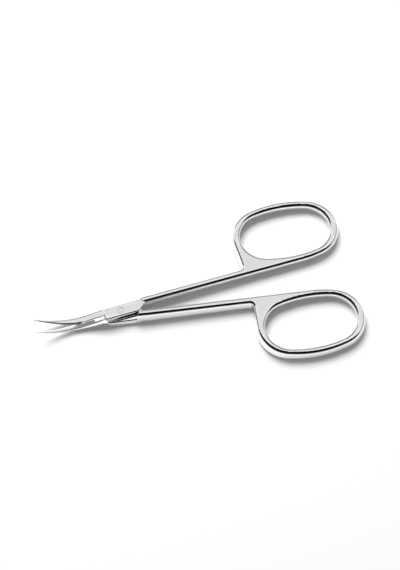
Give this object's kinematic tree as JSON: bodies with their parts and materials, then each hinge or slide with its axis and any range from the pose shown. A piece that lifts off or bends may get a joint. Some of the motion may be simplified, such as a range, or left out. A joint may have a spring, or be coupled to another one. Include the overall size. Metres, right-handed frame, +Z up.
{
  "type": "cuticle scissors",
  "caption": "Slim polished-steel cuticle scissors with upturned narrow blades, straight shanks and oval finger rings, turning on a flush pivot screw.",
  "frame": {"origin": "on the pivot axis, at the flat underside that the scissors rest on", "axes": "+X from the pivot towards the finger rings along the line midway between the halves, +Y towards the upper half's ring, +Z up along the pivot axis"},
  "size_m": [0.0917, 0.051, 0.0047],
  "materials": {
    "polished_steel": "mirror polished, with fine lengthwise polishing lines",
    "screw_steel": "turned and ground"
  },
  "bodies": {
    "lower": {"lower_half": "polished_steel"},
    "upper": {"upper_half": "polished_steel", "pivot_screw": "screw_steel"}
  },
  "joints": [
    {"name": "pivot", "type": "hinge", "parent": "lower", "child": "upper", "pos_m": [0, 0, 0], "axis": [0, 0, 1], "range_deg": [-9.68, 80]}
  ]
}
